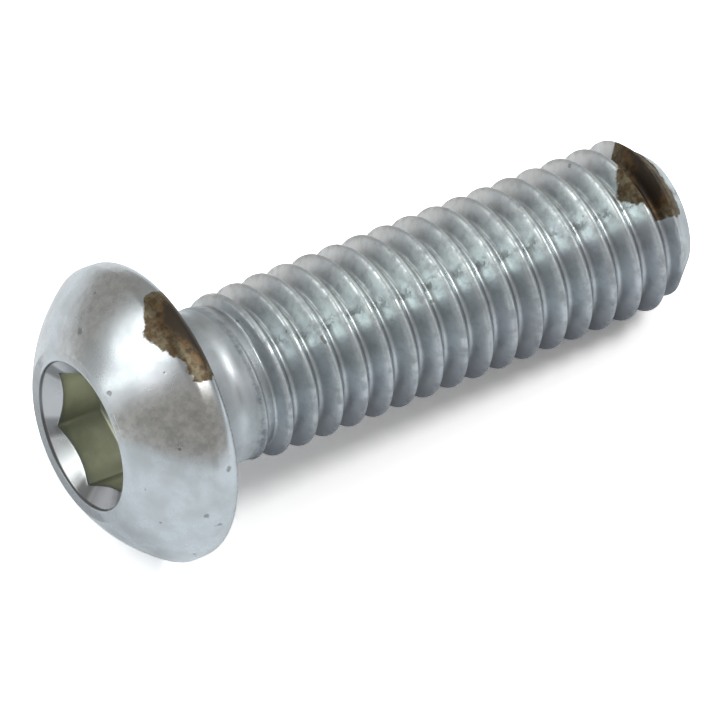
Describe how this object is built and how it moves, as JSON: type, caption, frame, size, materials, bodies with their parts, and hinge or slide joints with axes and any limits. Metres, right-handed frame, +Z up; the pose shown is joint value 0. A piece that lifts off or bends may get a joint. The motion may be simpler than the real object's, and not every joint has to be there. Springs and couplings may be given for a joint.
{
  "type": "dome head screw",
  "caption": "Dome head machine screw with a hexagon socket, a short plain neck and a coarse metric thread, lying on its side.",
  "frame": {"origin": "on the surface the screw lies on, under the middle of its length and width", "axes": "+X runs from the head towards the end of the thread, +Z up; the screw's own axis drops 6.6 degrees towards the end, because the head is wider than the thread"},
  "size_m": [0.0236, 0.0104, 0.0105],
  "materials": {
    "zinc_plated_steel": "bright zinc plate, blue-white, satin, with brown stains at the head's edge and the thread's end"
  },
  "bodies": {
    "root": {"dome_head_screw": "zinc_plated_steel"}
  },
  "joints": []
}
